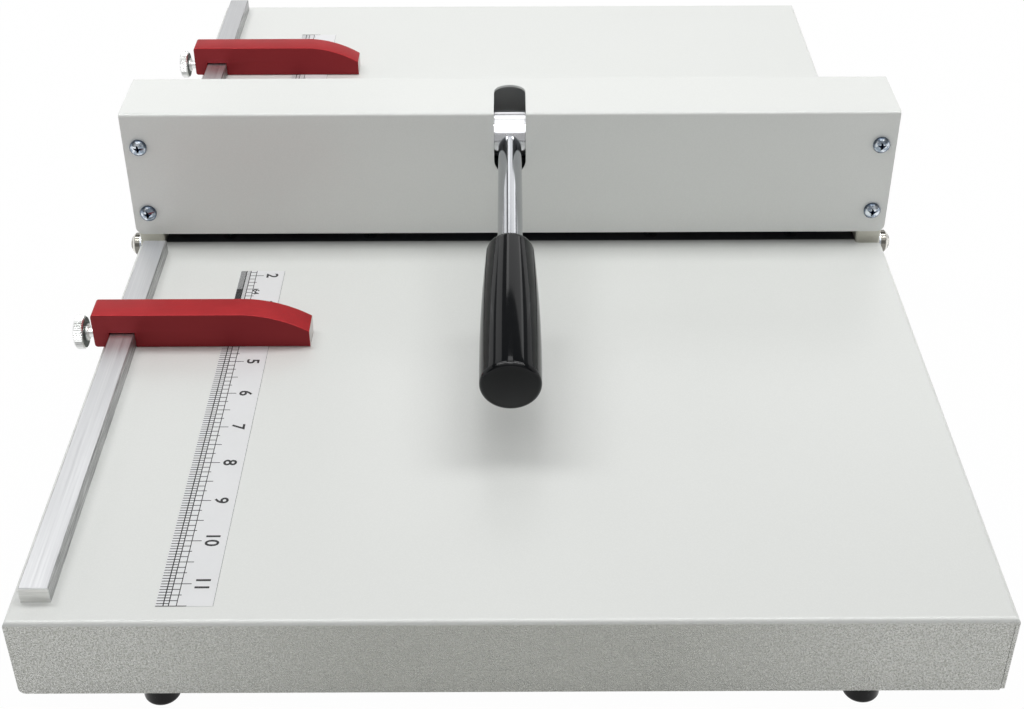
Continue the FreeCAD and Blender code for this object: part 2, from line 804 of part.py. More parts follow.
# ---------------------------------------------------------------- head cover
def head_cover():
    """Folded cover over the head, open at its ends, with the lever slot over its front top edge."""
    end = half_width + cover_overhang
    rear = -cover_front + cover_depth
    low = table_top + cover_lift
    top = table_top + cover_height
    outside = box(-end, end, -cover_front, rear, low, top)
    top_edges = edges_along(outside, X_AXIS, lambda m: near(m.z, top))
    outside = outside.makeFillet(cover_bend_inside + cover_sheet, top_edges)
    inside = box(-end - past, end + past, frame_front, frame_rear, low - past, top - cover_sheet)
    top_edges = edges_along(inside, X_AXIS, lambda m: near(m.z, top - cover_sheet))
    inside = inside.makeFillet(cover_bend_inside, top_edges)
    cutters = [inside, lever_slot_cutter()]
    r = cover_corner_radius
    corner = box(end - r, end, -cover_front, rear, low, low + r)
    corner = corner.cut(rod(r, Vector(end - r, -cover_front, low + r), Vector(end - r, rear, low + r)))
    cutters += [corner, mirror_x(corner)]
    hole_radius = small_screw_radius + screw_hole_gap
    for z in cover_screw_places:
        for x in (-cover_screw_x, cover_screw_x):
            start = Vector(x, -cover_front - past, z)
            cutters.append(rod(hole_radius, start, Vector(x, rear + past, z)))
    cover = outside
    for cutter in cutters:
        cover = cover.cut(cutter)
    return cover.removeSplitter()


def lever_slot_cutter():
    """Slot with round ends, from the front face over the bend into the top face."""
    half = slot_width / 2
    front = -cover_front - past
    low = table_top + slot_front_end
    above = table_top + cover_height + past
    run = box(-half, half, front, slot_top_end, low, above)
    lower_end = rod(half, Vector(0, front, low), Vector(0, slot_top_end, low))
    upper_end = rod(half, Vector(0, slot_top_end, low), Vector(0, slot_top_end, above))
    return run.fuse([lower_end, upper_end])


def cover_screws(face_y, outward):
    """Four pan head screws through one face of the cover into the end frames."""
    screw = pan_screw(cover_screw_head_radius, cover_screw_head_height, small_screw_radius,
                      cover_sheet + cover_screw_grip)
    screw.rotate(Vector(0, 0, 0), Z_AXIS, 45)
    places = [(x, z) for x in (-cover_screw_x, cover_screw_x) for z in cover_screw_places]
    return group([face_along(screw, outward, Vector(x, face_y, z)) for x, z in places])


def front_cover_screws():
    return cover_screws(-cover_front, Vector(0, -1, 0))


def rear_cover_screws():
    return cover_screws(-cover_front + cover_depth, Vector(0, 1, 0))


# ---------------------------------------------------------------- rails, stops, thumb screws
def rail_bar(rail_span):
    """Flat rail on a table, built on the user's side, with broken edges."""
    start, end = rail_span
    bar = box(rail_left, rail_left + rail_width, -end, -start, table_top, table_top + rail_height)
    top = table_top + rail_height
    edges = edges_along(bar, X_AXIS, lambda m: near(m.z, top))
    edges += edges_along(bar, Y_AXIS, lambda m: near(m.z, top))
    bar = bar.makeChamfer(rail_chamfer, edges)
    holes = []
    for y in rail_hole_places(rail_span):
        low = Vector(rail_middle, -y, table_top)
        holes.append(rod(small_screw_radius, low, low + Z_AXIS * rail_screw_grip))
    return bar.cut(group(holes))


def rail_screws(rail_span):
    """Screws from under the table into the rail, built on the user's side."""
    screw = pan_screw(pan_head_radius, pan_head_height, small_screw_radius, table_sheet + rail_screw_grip)
    return group([face_along(screw, Vector(0, 0, -1), Vector(rail_middle, -y, bed_top))
                  for y in rail_hole_places(rail_span)])


def stop_block(y):
    """Sliding stop: a bar across the table, arched down to its tip and notched over the rail."""
    low = table_top + stop_table_gap
    top = table_top + stop_height
    right = stop_left + stop_length
    curve_start = right - stop_curve_length
    drop = stop_height - stop_tip_height
    radius = (stop_curve_length ** 2 + drop ** 2) / (2 * drop)
    half_turn = math.asin(stop_curve_length / radius) / 2
    start = Vector(curve_start, 0, top)
    tip = Vector(right, 0, table_top + stop_tip_height)
    arc_middle = Vector(curve_start + radius * math.sin(half_turn), 0,
                        top - radius * (1 - math.cos(half_turn)))
    notch_left = rail_left - stop_side_gap
    notch_right = rail_left + rail_width + stop_side_gap
    notch_top = table_top + rail_height + stop_top_gap
    lower = [Vector(right, 0, low), Vector(notch_right, 0, low), Vector(notch_right, 0, notch_top),
             Vector(notch_left, 0, notch_top), Vector(notch_left, 0, low), Vector(stop_left, 0, low),
             Vector(stop_left, 0, top)]
    path = [tip] + lower + [start]
    wire = Part.Wire([Part.makeLine(a, b) for a, b in zip(path, path[1:])]
                     + [Part.Arc(start, arc_middle, tip).toShape()])
    block = Part.Face(wire).extrude(Vector(0, stop_width, 0))
    outer_edges = edges_along(block, Y_AXIS, lambda m: near(m.x, stop_left))
    block = block.makeFillet(stop_edge_radius, outer_edges)
    block.translate(Vector(0, y - stop_width / 2, 0))
    hole_start = Vector(stop_left - past, y, table_top + thumb_screw_height)
    hole_end = Vector(rail_left + past, y, table_top + thumb_screw_height)
    return block.cut(rod(thumb_screw_radius + thumb_screw_hole_gap, hole_start, hole_end))


def knurled_disc():
    """Straight-knurled disc lying on z = 0, with both rims chamfered."""
    points = []
    for i in range(2 * knurl_teeth + 1):
        radius = thumb_disc_radius - knurl_depth * (i % 2)
        angle = math.pi * i / knurl_teeth
        points.append(Vector(radius * math.cos(angle), radius * math.sin(angle), 0))
    disc = Part.Face(Part.makePolygon(points)).extrude(Vector(0, 0, thumb_disc_thickness))
    limit = Part.makeCylinder(thumb_disc_radius, thumb_disc_thickness)
    rims = [edge for edge in limit.Edges if isinstance(edge.Curve, Part.Circle)]
    return disc.common(limit.makeChamfer(knurl_chamfer, rims))


def thumb_screw(y):
    """Knurled screw through the stop's outer wall, with its tip just off the rail."""
    axis_start = Vector(rail_left - thumb_screw_tip_gap, y, table_top + thumb_screw_height)
    disc_at = Vector(stop_left - thumb_disc_gap, axis_start.y, axis_start.z)
    left = Vector(-1, 0, 0)
    shank = rod(thumb_screw_radius, axis_start, disc_at + left)
    collar = rod(thumb_collar_radius, disc_at - left * thumb_collar_thickness, disc_at)
    return face_along(knurled_disc(), left, disc_at).fuse([shank, collar])


# ---------------------------------------------------------------- rulers
def ruler_strip(start_inch, end_inch):
    """Adhesive ruler strip on a table, placed by its printed inches from the crease line."""
    return box(ruler_left, ruler_left + ruler_width, start_inch * inch, end_inch * inch,
               table_top, table_top + ruler_thickness)


# ---------------------------------------------------------------- assembly
def all_parts():
    """Every sub-part by its node name."""
    parts = {
        "front_table": front_table(),
        "rear_table": rear_table(),
        "table_screws": table_screws(),
        "foot_screws": foot_screws(),
        "foot_nuts": foot_nuts(),
        "left_end_frame": left_end_frame(),
        "right_end_frame": right_end_frame(),
        "die_bed": die_bed(),
        "crease_die": crease_die(),
        "die_screws": die_screws(),
        "side_bolts": side_bolts(),
        "side_washers": side_washers(),
        "rear_tie_bar": rear_tie_bar(),
        "tie_bar_screws": tie_bar_screws(),
        "left_shaft_bush": left_shaft_bush(),
        "right_shaft_bush": right_shaft_bush(),
        "eccentric_shaft": eccentric_shaft(),
        "lever_rod": lever_rod(),
        "lever_grip": lever_grip(),
        "blade_beam": blade_beam(),
        "crease_blade": crease_blade(),
        "blade_clamp_bar": blade_clamp_bar(),
        "blade_clamp_screws": blade_clamp_screws(),
        "left_follower_pad": follower_pad(-1),
        "right_follower_pad": follower_pad(1),
        "follower_pad_screws": follower_pad_screws(),
        "left_return_spring": return_spring(-1),
        "right_return_spring": return_spring(1),
        "head_cover": head_cover(),
        "front_cover_screws": front_cover_screws(),
        "rear_cover_screws": rear_cover_screws(),
        "front_rail": rail_bar(front_rail_span),
        "rear_rail": mirror_y(rail_bar(rear_rail_span)),
        "front_rail_screws": rail_screws(front_rail_span),
        "rear_rail_screws": mirror_y(rail_screws(rear_rail_span)),
        "front_stop": stop_block(-front_stop_at),
        "rear_stop": stop_block(rear_stop_at),
        "front_thumb_screw": thumb_screw(-front_stop_at),
        "rear_thumb_screw": thumb_screw(rear_stop_at),
        "front_ruler": ruler_strip(-front_ruler_end, -ruler_start),
        "rear_ruler": ruler_strip(ruler_start, rear_ruler_end),
    }
    for name, (x, y) in all_foot_places().items():
        parts[name] = foot(x, y)
    return parts


def main():
    """Write one STEP file per sub-part and print its solids and volume."""
    os.makedirs("parts", exist_ok=True)
    for name, shape in all_parts().items():
        shape.exportStep(os.path.join("parts", name + ".step"))
        print(f"{name:22s} {len(shape.Solids)} solids {shape.Volume:12.1f} mm3 valid {shape.isValid()}")


main()
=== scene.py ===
# %% [markdown]
# # A hand-lever paper creaser in a studio
# The machine is two white sheet-metal tables with a bridge-like head between them. A chrome lever with
# a black grip turns an eccentric shaft, which presses a blade into a grooved bar and creases the paper.
# Its solids come ready made and to size. This lesson gives them their finishes, adds the fine surfaces
# that solids leave out, such as a printed scale and softened edges, and lights the whole machine.
# Every length is in metres, and `mm` turns a length in millimetres into metres.

import json
import math

import bpy
import numpy as np
from mathutils import Matrix, Vector


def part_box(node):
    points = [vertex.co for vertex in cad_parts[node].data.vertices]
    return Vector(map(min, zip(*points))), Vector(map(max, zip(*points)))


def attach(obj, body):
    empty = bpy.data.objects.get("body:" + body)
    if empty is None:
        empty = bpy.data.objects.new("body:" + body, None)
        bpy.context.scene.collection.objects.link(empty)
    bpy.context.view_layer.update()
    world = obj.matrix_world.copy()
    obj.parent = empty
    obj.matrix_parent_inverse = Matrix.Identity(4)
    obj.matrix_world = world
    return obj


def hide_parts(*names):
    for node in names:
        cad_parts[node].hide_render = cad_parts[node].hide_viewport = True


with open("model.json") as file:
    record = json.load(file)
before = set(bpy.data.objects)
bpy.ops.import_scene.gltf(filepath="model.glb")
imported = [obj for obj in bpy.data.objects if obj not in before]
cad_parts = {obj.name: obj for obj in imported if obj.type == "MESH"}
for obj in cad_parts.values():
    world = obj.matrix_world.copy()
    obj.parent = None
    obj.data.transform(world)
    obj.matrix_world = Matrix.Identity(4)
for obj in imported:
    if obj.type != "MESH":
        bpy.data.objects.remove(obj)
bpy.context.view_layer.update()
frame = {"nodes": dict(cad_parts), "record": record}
nodes = frame["nodes"]
mm = 0.001
inch = 0.0254

# %% [markdown]
# ## Shader maths as plain arithmetic
# A material in Blender is a graph of small nodes. Long rows of Math nodes are hard to read, so a small
# class wraps a socket: adding or multiplying two wrapped sockets adds the Math node for us. Every other
# kind of node comes from one method, which makes the node's settings first and then fills its sockets.

# %% Signals and finishes
class Signal:
    """A value that runs between shader nodes. Arithmetic on it adds Math nodes."""

    def __init__(self, finish, socket):
        self.finish = finish
        self.socket = socket

    def maths(self, operation, *values):
        return self.finish.node("ShaderNodeMath", {"operation": operation}, dict(enumerate(values)))

    def __add__(self, other):
        return self.maths("ADD", self, other)

    def __sub__(self, other):
        return self.maths("SUBTRACT", self, other)

    def __rsub__(self, other):
        return self.maths("SUBTRACT", other, self)

    def __mul__(self, other):
        return self.maths("MULTIPLY", self, other)

    def __truediv__(self, other):
        return self.maths("DIVIDE", self, other)

    def __pow__(self, other):
        return self.maths("POWER", self, other)

    def __abs__(self):
        return self.maths("ABSOLUTE", self)

    __radd__ = __add__
    __rmul__ = __mul__


class Finish:
    """A material under construction, with one way to add a node."""

    def __init__(self, name):
        self.material = bpy.data.materials.new(name)
        self.material.use_nodes = True
        self.tree = self.material.node_tree
        self.shader = self.tree.nodes["Principled BSDF"]

    def node(self, kind, settings=None, sockets=None, output=0):
        """Add a node: its settings first, then its sockets by name or number. Give one of its outputs."""
        made = self.tree.nodes.new(kind)
        for setting, choice in (settings or {}).items():
            setattr(made, setting, choice)
        for socket, value in (sockets or {}).items():
            self.feed(made.inputs[socket], value)
        return Signal(self, made.outputs[output])

    def feed(self, socket, value):
        """Link a signal to a socket, or write a constant into it."""
        if isinstance(value, Signal):
            self.tree.links.new(value.socket, socket)
        else:
            socket.default_value = value

    def surface(self, **values):
        """Fill the main shader's sockets; an underscore in a name stands for a space."""
        for name, value in values.items():
            self.feed(self.shader.inputs[name.replace("_", " ")], value)

    def blend(self, share, first, second):
        """Mix two colours by a share from 0 to 1."""
        return self.node("ShaderNodeMix", {"data_type": "RGBA"}, {0: share, 6: first, 7: second}, 2)

    def place(self):
        """A point's coordinates on the piece itself, in metres."""
        return self.node("ShaderNodeTexCoord", output="Object")

    def axes(self):
        """The three coordinates as separate signals."""
        place = self.place()
        return [self.node("ShaderNodeSeparateXYZ", None, {"Vector": place}, axis) for axis in "XYZ"]

    def stretched(self, scale):
        """The point's coordinates scaled by three numbers, for a pattern drawn out in one direction."""
        return self.node("ShaderNodeMapping", None, {"Vector": self.place(), "Scale": scale})

    def noise(self, vector, scale, detail=2.0, roughness=0.5):
        """Soft random pattern around 0.5, with `scale` waves to a metre of the vector's length."""
        return self.node("ShaderNodeTexNoise", None,
                         {"Vector": vector, "Scale": scale, "Detail": detail, "Roughness": roughness})

    def ramp(self, value, low, high, start=0.0, end=1.0):
        """Carry a value from the range low..high to start..end, held at both ends."""
        return self.node("ShaderNodeMapRange", {"clamp": True},
                         {"Value": value, "From Min": low, "From Max": high, "To Min": start, "To Max": end})

    def relief(self, height, depth):
        """Turn a height from 0 to 1 into a bumped normal; depth is in metres."""
        return self.node("ShaderNodeBump", None, {"Height": height, "Distance": depth, "Strength": 1.0})


def srgb(red, green, blue):
    """A colour written as 0..255 screen values, as the linear colour that Blender wants."""
    steps = np.array([red, green, blue]) / 255
    linear = np.where(steps <= 0.04045, steps / 12.92, ((steps + 0.055) / 1.055) ** 2.4)
    return tuple(float(step) for step in linear) + (1.0,)


paint_white, paint_shade = srgb(228, 230, 227), srgb(225, 227, 224)
print("paint white is", paint_white)

# %% [markdown]
# ## Powder coat
# The tables and the head wear a warm white powder coat. Its wide faces look smooth, and the tables' flaps
# show its grain: small flat-topped islands, under a millimetre across, parted by fine valleys. A Voronoi
# pattern gives the islands, noise bends their outlines, and the result drives a bump and a painted shade
# in the valleys, with lighter island tops as painted light. Masks on the coordinates say where the grain
# shows and where shade is painted nearly black.

# %% Powder coat
# Where the grain shows, the island tops are painted a lighter white and the valleys a painted shade, by
# `valley_shade_share`. Elsewhere the same relief stays, at `smooth_share` of its height.
grain_width, grain_depth, smooth_share = 0.75 * mm, 0.60 * mm, 0.025
grain_lit_white, painted_shade_black = srgb(250, 251, 246), srgb(34, 36, 40)
valley_shade_share = (0.66, 0.66, 0.61)


def powder_coat(name, colour, shade, look=None):
    """Painted sheet, where `shade` is the colour of its faint clouds. `look` takes the finish and returns
    three masks from 0 to 1: where the paint is grained, how crisp the grain is there, and where shade
    is painted nearly black."""
    finish = Finish(name)
    place = finish.place()
    drift = finish.node("ShaderNodeTexNoise", None,
                        {"Vector": place, "Scale": 0.6 / grain_width, "Detail": 2.0}, "Color")
    bent = finish.node("ShaderNodeMix", {"data_type": "VECTOR"},
                       {0: grain_width * 0.9, 4: place, 5: drift}, 1)
    islands = finish.node("ShaderNodeTexVoronoi", {"feature": "SMOOTH_F1"},
                          {"Vector": bent, "Scale": 1 / grain_width, "Smoothness": 0.35}, "Distance")
    fine = finish.noise(place, 3.5 / grain_width, 3.0)
    tops = finish.ramp(islands, 0.62, 0.12)
    height = tops * 0.75 + fine * 0.25
    cloud = finish.noise(place, 9.0, 2.0)
    paint = finish.blend(finish.ramp(tops * 0.5 + cloud * 0.5, 0.2, 0.8), shade, colour)
    if look:
        grained, crisp, bare = look(finish)
        # The valleys get a painted shade and the island tops a lighter white: together they paint the
        # grain's light and shade.
        valley_painted_shade = tuple(part * share for part, share in zip(colour[:3], valley_shade_share)) + (1.0,)
        paint = finish.blend(grained, paint, grain_lit_white)
        crevice_shade = finish.ramp(islands * 0.8 + fine * 0.2, 0.46, 0.67) * crisp + (1.0 - crisp) * 0.90
        paint = finish.blend(crevice_shade * grained, paint, valley_painted_shade)
        # Where the third mask is 1, shade is painted nearly black.
        paint = finish.blend(bare, paint, painted_shade_black)
        height = height * finish.ramp(grained, 0.0, 1.0, smooth_share, 1.0)
    else:
        height = height * smooth_share
    finish.surface(Base_Color=paint, Roughness=finish.ramp(fine, 0.3, 0.7, 0.46, 0.40),
                   Normal=finish.relief(height, grain_depth), Coat_Weight=0.5, Coat_Roughness=0.22)
    return finish.material


def table_look(finish):
    """Grain below the bend, on the flaps, and soft near their middle. The strip under the head is painted
    nearly black as shade, and the top beside that strip carries a painted shadow of the head."""
    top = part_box("front_table")[1].z
    dark_half, head_shadow_half = 17.0 * mm, 25.0 * mm
    x, y, z = finish.axes()
    flap = finish.ramp(z, top - 1.4 * mm, top - 2.2 * mm)
    # Near the flaps' middle the grain is soft and its painted valley shade spreads evenly, which paints the
    # middle darker as shade.
    crisp = finish.ramp(abs(x), 60 * mm, 150 * mm, 0.25, 1.0)
    # Painted shade: the strip under the head is painted nearly black.
    under_head = finish.ramp(abs(y), dark_half, dark_half - 1.0 * mm)
    on_top = finish.ramp(z, top - 1.0 * mm, top - 0.5 * mm)
    # Painted shadow of the head on the top beside the strip, fading outwards.
    painted_head_shadow = finish.ramp(abs(y), head_shadow_half, dark_half, 0.0, 0.3) * on_top
    return flap, crisp, finish.ramp(under_head + painted_head_shadow, 0.0, 1.0)


def cover_look(finish):
    """No grain; the inside of the cover, behind the sheet's thickness, is painted nearly black as shade."""
    low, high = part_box("head_cover")
    skin, fade = 1.1 * mm, 0.2 * mm
    x, y, z = finish.axes()
    middle_y, half_y = (low.y + high.y) / 2, (high.y - low.y) / 2
    # Painted shade: the inside of the cover is painted nearly black.
    inner = (finish.ramp(abs(x), high.x - skin, high.x - skin - fade)
             * finish.ramp(abs(y - middle_y), half_y - skin, half_y - skin - fade)
             * finish.ramp(z, high.z - skin, high.z - skin - fade))
    return 0.0, 0.0, inner


table_paint = powder_coat("table_powder_coat", paint_white, paint_shade, table_look)
cover_paint = powder_coat("cover_powder_coat", paint_white, paint_shade, cover_look)
frame_paint = powder_coat("end_frame_powder_coat", srgb(216, 215, 202), srgb(210, 209, 196))
print("powder coats:", table_paint.name, cover_paint.name, frame_paint.name)

# %% [markdown]
# ## Bare and plated metal
# Metal is all reflection, so its finish lives in the roughness and in fine lines. A ground blade has lines
# along its length, a turned shaft has lines around it, and zinc plate has a soft cloudy gloss. Noise that
# is squeezed across the lines and drawn out along them makes each of these.

# %% Metal finishes
def lined_metal(name, colour, lines, roughness=(0.22, 0.42), depth=0.006 * mm, shade=0.86):
    """Metal with fine lines. `lines` holds the pattern's scale along X, Y and Z per metre, and `shade` is
    the share of light that the darkest lines keep."""
    finish = Finish(name)
    streaks = finish.noise(finish.stretched(lines), 1.0, 3.0, 0.6)
    cloud = finish.noise(finish.place(), 40.0, 2.0)
    darker = tuple(part * shade for part in colour[:3]) + (1.0,)
    bright = finish.ramp(streaks * 0.7 + cloud * 0.3, 0.3, 0.7)
    finish.surface(Base_Color=finish.blend(bright, darker, colour),
                   Metallic=1.0,
                   Roughness=finish.ramp(streaks * 0.6 + cloud * 0.4, 0.3, 0.7, *roughness),
                   Normal=finish.relief(streaks, depth))
    return finish.material


blade_metal = lined_metal("ground_steel", srgb(205, 205, 207), (20, 1800, 1800))
zinc_metal = lined_metal("zinc_plate", srgb(214, 220, 228), (900, 900, 900), (0.18, 0.34))
spring_metal = lined_metal("spring_wire", srgb(190, 190, 192), (500, 500, 2500))
brass_metal = lined_metal("bearing_brass", srgb(214, 184, 122), (2500, 400, 400))
lever_chrome = lined_metal("lever_chrome", srgb(195, 197, 201), (1500, 30, 200), (0.11, 0.15),
                           depth=0.002 * mm, shade=0.96)
shaft_chrome = lined_metal("shaft_chrome", srgb(222, 223, 226), (2500, 60, 60), (0.15, 0.20), shade=0.93)
print("metals:", zinc_metal.name, lever_chrome.name, shaft_chrome.name)

# %% [markdown]
# ## Black oxide, rubber, grip plastic, label film and ink
# None of these shows bare metal, so their colour is their own and a clear highlight sits on top. The grip
# is polished and nearly black, the rubber has a soft shine and a fine moulded grain, and the label is a
# smooth film. A lower gloss keeps the white floor from turning the black pieces grey.

# %% Black and moulded finishes
def moulded(name, colour, roughness, grain, depth, worn=1.5, gloss=0.5):
    """One colour with a faint cloud in it and a fine grain on top. `worn` says how many times lighter the
    cloud is, and `gloss` how strong the highlight is, where 0.5 is usual."""
    finish = Finish(name)
    grains = finish.noise(finish.place(), 1 / grain, 3.0)
    cloud = finish.noise(finish.place(), 60.0, 2.0)
    lighter = tuple(min(1.0, part * worn + 0.002) for part in colour[:3]) + (1.0,)
    pale = finish.ramp(cloud * 0.6 + grains * 0.4, 0.35, 0.75)
    finish.surface(Base_Color=finish.blend(pale, colour, lighter),
                   Roughness=finish.ramp(cloud * 0.5 + grains * 0.5, 0.3, 0.7, *roughness),
                   Normal=finish.relief(grains, depth),
                   Specular_IOR_Level=gloss)
    return finish.material


black_steel = moulded("black_oxide", srgb(22, 24, 28), (0.35, 0.50), 0.4 * mm, 0.01 * mm, gloss=0.3)
foot_rubber = moulded("foot_rubber", srgb(14, 14, 15), (0.16, 0.26), 0.35 * mm, 0.01 * mm,
                      worn=1.1, gloss=0.15)
grip_black = moulded("grip_black", srgb(5, 7, 10), (0.06, 0.10), 2.5 * mm, 0.001 * mm, worn=1.1, gloss=0.24)
label_film = moulded("label_film", srgb(226, 227, 228), (0.30, 0.42), 1.5 * mm, 0.003 * mm, worn=1.03)
label_ink = moulded("label_ink", srgb(22, 22, 24), (0.40, 0.55), 0.5 * mm, 0.002 * mm)
print("plastics:", grip_black.name, foot_rubber.name, label_film.name)

# %% [markdown]
# ## Red anodising
# The stops are aluminium bars, brushed lengthwise and then anodised red. Under the dye there is still
# metal, so the colour comes partly from reflection. The side toward the user is painted a darker red as
# shade, and the tip was cut afterwards and shows bare metal. Masks on the coordinates find these two
# faces, so each stop has a finish of its own.

# %% Red anodised finish
def red_anodised(name, node):
    """Red aluminium bar: `node` is the stop whose front side is painted darker as shade and whose tip is
    bare metal.
    """
    finish = Finish(name)
    low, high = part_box(node)
    x, y, _ = finish.axes()
    streaks = finish.noise(finish.stretched((35, 1700, 1700)), 1.0, 3.0, 0.6)
    cloud = finish.noise(finish.place(), 70.0, 2.0)
    dyed = finish.ramp(streaks * 0.6 + cloud * 0.4, 0.3, 0.7)
    red = finish.blend(dyed, srgb(154, 24, 30), srgb(180, 34, 40))
    # Painted shade: the front side, toward the user, is painted a darker red.
    sawn = finish.ramp(y, low.y + 0.10 * mm, low.y + 0.04 * mm)
    red = finish.blend(sawn, red, srgb(132, 28, 34))
    bare = finish.ramp(x, high.x - 0.12 * mm, high.x - 0.02 * mm)
    finish.surface(Base_Color=finish.blend(bare, red, srgb(205, 200, 198)),
                   Metallic=finish.ramp(bare, 0.0, 1.0, 0.35, 1.0),
                   Roughness=finish.ramp(streaks, 0.3, 0.7, 0.42, 0.52),
                   Specular_IOR_Level=0.3,
                   Normal=finish.relief(streaks, 0.008 * mm))
    return finish.material


stop_reds = {node: red_anodised(node + "_red", node) for node in ("front_stop", "rear_stop")}
print("red finishes:", sorted(stop_reds))

# %% [markdown]
# ## Screw heads, knurled discs and rails
# The cross of a screw head is painted dark blue as shade. A mask finds it from coordinates: the distance
# from the nearest of the four screw axes says how far out a point lies, and its depth below the top of the
# dome says whether it lies inside the recess. The same distance paints shade on the rims of screws and
# bolts, and a dark ring on the bolts' domes as a painted reflection. The knurled disc's inner face is
# painted dark as shade, and a rail is painted brighter on top than on its sides, as light and shade.

# %% Masked metal finishes
def axis_distance(first, second):
    """Distance from an axis, from the two offsets across it."""
    return (first * first + second * second) ** 0.5


def crossed_zinc(name, node):
    """Zinc-plated screw heads whose cross recess is painted dark blue and whose rim is painted darker, as
    shade; `node` holds all four screws.

    `out` is a point's distance from its screw's axis as a share of the head's radius. The dome falls off
    with the square of it, and a point that lies deeper than that, with some slack, is in the recess.
    """
    finish = Finish(name)
    low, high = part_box(node)
    head, dome_drop, slack = 4.3 * mm, 1.9 * mm, 0.12 * mm
    outward = -1 if low.y < 0 else 1
    face = max(abs(low.y), abs(high.y)) - slack
    x, y, z = finish.axes()
    off_x = abs(x) - (high.x - head)
    off_z = abs(z - (low.z + high.z) / 2) - ((high.z - low.z) / 2 - head)
    out = axis_distance(off_x, off_z) / head
    depth = y * -outward + face
    inside = finish.ramp(depth - out * out * dome_drop, 0.02 * mm, 0.12 * mm)
    inside = inside * finish.ramp(out, 0.80, 0.72)
    grains = finish.noise(finish.place(), 420.0, 3.0, 0.6)
    plate = finish.blend(finish.ramp(grains, 0.44, 0.56), srgb(146, 158, 172), srgb(230, 237, 244))
    # Painted shade: the rim is painted darker, and the cross recess dark blue.
    plate = finish.blend(finish.ramp(out, 0.80, 0.96), plate, srgb(84, 96, 112))
    finish.surface(Base_Color=finish.blend(inside, plate, srgb(34, 48, 74)),
                   Metallic=1.0,
                   Roughness=finish.ramp(inside, 0.0, 1.0, 0.16, 0.40),
                   Normal=finish.relief(grains, 0.004 * mm))
    return finish.material


def knurled_nickel(name, inner_face):
    """Nickel with fine lines along X; the disc's inner face, at `inner_face` along X, is painted dark as
    shade.
    """
    finish = Finish(name)
    x = finish.axes()[0]
    lines = finish.noise(finish.stretched((60, 1500, 1500)), 1.0, 2.0, 0.5)
    inner = finish.ramp(x, inner_face - 0.12 * mm, inner_face - 0.04 * mm)
    inner = inner * finish.ramp(x, inner_face + 0.20 * mm, inner_face + 0.12 * mm)
    plate = finish.blend(finish.ramp(lines, 0.3, 0.7), srgb(214, 216, 214), srgb(240, 241, 240))
    # Painted shade: the disc's inner face is painted dark.
    finish.surface(Base_Color=finish.blend(inner, plate, srgb(84, 94, 90)),
                   Metallic=1.0,
                   Roughness=finish.ramp(inner, 0.0, 1.0, 0.30, 0.50),
                   Normal=finish.relief(lines, 0.03 * mm))
    return finish.material


def domed_nickel(name, node):
    """Four domed bolt heads on the outer sides: a pale dome with a dark rim painted as shade, and a dark
    ring on it painted as a reflection.
    """
    finish = Finish(name)
    low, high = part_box(node)
    head = (high.z - low.z) / 2
    _, y, z = finish.axes()
    off_y = abs(y - (low.y + high.y) / 2) - ((high.y - low.y) / 2 - head)
    out = axis_distance(off_y, z - (low.z + high.z) / 2) / head
    grains = finish.noise(finish.place(), 300.0, 3.0, 0.6)
    # Painted reflection: a dark ring on the dome. Painted shade: a dark rim.
    ring = finish.ramp(out, 0.50, 0.60) * finish.ramp(out, 0.84, 0.74) * finish.ramp(grains, 0.44, 0.56)
    dark = finish.ramp(ring + finish.ramp(out, 0.92, 0.99), 0.0, 1.0)
    finish.surface(Base_Color=finish.blend(dark, srgb(232, 230, 224), srgb(128, 126, 120)),
                   Metallic=1.0,
                   Roughness=finish.ramp(grains, 0.3, 0.7, 0.10, 0.16),
                   Normal=finish.relief(grains, 0.004 * mm))
    return finish.material


def drawn_rail(name, node):
    """Aluminium bar: brushed on its top face, streaky on its long sides, sawn ends; the top is painted
    brighter and the long sides darker, as light and shade.
    """
    finish = Finish(name)
    low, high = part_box(node)
    _, y, z = finish.axes()
    side = finish.ramp(z, high.z - 0.04 * mm, high.z - 0.14 * mm)
    middle_y, half_y = (low.y + high.y) / 2, (high.y - low.y) / 2
    sawn_end = finish.ramp(abs(y - middle_y), half_y - 0.14 * mm, half_y - 0.04 * mm)
    lines = finish.noise(finish.stretched((1500, 12, 1500)), 1.0, 3.0, 0.6)
    saw_lines = finish.noise(finish.stretched((60, 60, 2600)), 1.0, 3.0, 0.6)
    streak = finish.ramp(saw_lines, 0.36, 0.64)
    top_colour = finish.blend(finish.ramp(lines, 0.3, 0.7), srgb(201, 202, 204), srgb(213, 214, 215))
    # Painted shade: the long sides are painted darker than the top.
    side_colour = finish.blend(streak, srgb(132, 133, 134), srgb(206, 207, 207))
    end_colour = finish.blend(streak, srgb(206, 206, 204), srgb(232, 232, 230))
    around = finish.blend(sawn_end, side_colour, end_colour)
    finish.surface(Base_Color=finish.blend(side, top_colour, around),
                   Metallic=1.0,
                   Roughness=finish.ramp(lines, 0.3, 0.7, 0.36, 0.48),
                   Normal=finish.relief(lines, 0.012 * mm))
    return finish.material


rail_metals = {node: drawn_rail(node + "_aluminium", node) for node in ("front_rail", "rear_rail")}
front_cross = crossed_zinc("front_cross_zinc", "front_cover_screws")
rear_cross = crossed_zinc("rear_cross_zinc", "rear_cover_screws")
disc_thickness = 4.8 * mm
thumb_nickel = knurled_nickel("thumb_nickel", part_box("front_thumb_screw")[0].x + disc_thickness)
bolt_nickel = domed_nickel("bolt_nickel", "side_bolts")
print("masked metals:", front_cross.name, rear_cross.name, thumb_nickel.name, bolt_nickel.name)

# %% [markdown]
# ## Finishes on the solids
# The record names a slot for every solid, which is the kind of surface it has, and most finishes go on by
# slot. A solid whose finish depends on its own coordinates, or that is painted black as shade, is listed by
# name.

